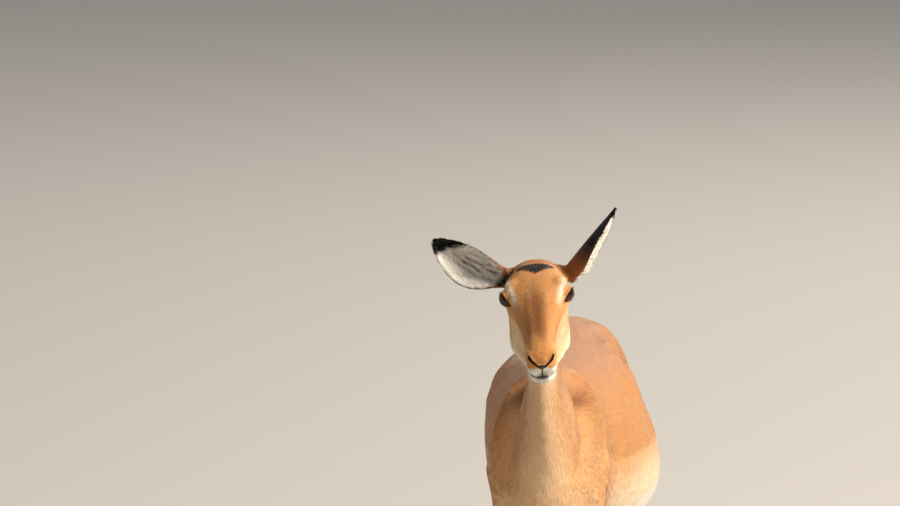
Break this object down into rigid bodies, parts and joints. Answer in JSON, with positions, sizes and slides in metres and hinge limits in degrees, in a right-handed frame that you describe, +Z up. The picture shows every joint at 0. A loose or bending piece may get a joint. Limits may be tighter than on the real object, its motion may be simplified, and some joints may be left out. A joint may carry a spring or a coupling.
{
  "type": "impala antelope model",
  "caption": "Life-size still model of a hornless antelope ewe, standing on all hooves with head raised and ears spread, a tapered face, slender legs and a hanging tail.",
  "frame": {"origin": "centre of the bounding box in plan, at the level of the hoof soles", "axes": "the animal faces -Y, its left side is +X, and +Z is up"},
  "size_m": [0.383, 1.3094, 1.1992],
  "materials": {
    "coat": "short glossy reddish-tan hair, lying flat",
    "leg_coat": "very short tan hair",
    "ear_coat": "fine pale hair inside, dark brown behind, black at the tip",
    "eye": "wet dark gloss",
    "hoof_horn": "smooth near-black horn"
  },
  "bodies": {
    "root": {"head": "coat", "neck": "coat", "trunk": "coat", "tail": "coat", "leg_front_left": "leg_coat", "leg_front_right": "leg_coat", "leg_hind_left": "leg_coat", "leg_hind_right": "leg_coat", "ear_left": "ear_coat", "ear_right": "ear_coat", "eye_left": "eye", "eye_right": "eye", "hoof_front_left_outer": "hoof_horn", "hoof_front_left_inner": "hoof_horn", "hoof_front_right_outer": "hoof_horn", "hoof_front_right_inner": "hoof_horn", "hoof_hind_left_outer": "hoof_horn", "hoof_hind_left_inner": "hoof_horn", "hoof_hind_right_outer": "hoof_horn", "hoof_hind_right_inner": "hoof_horn"}
  },
  "joints": []
}
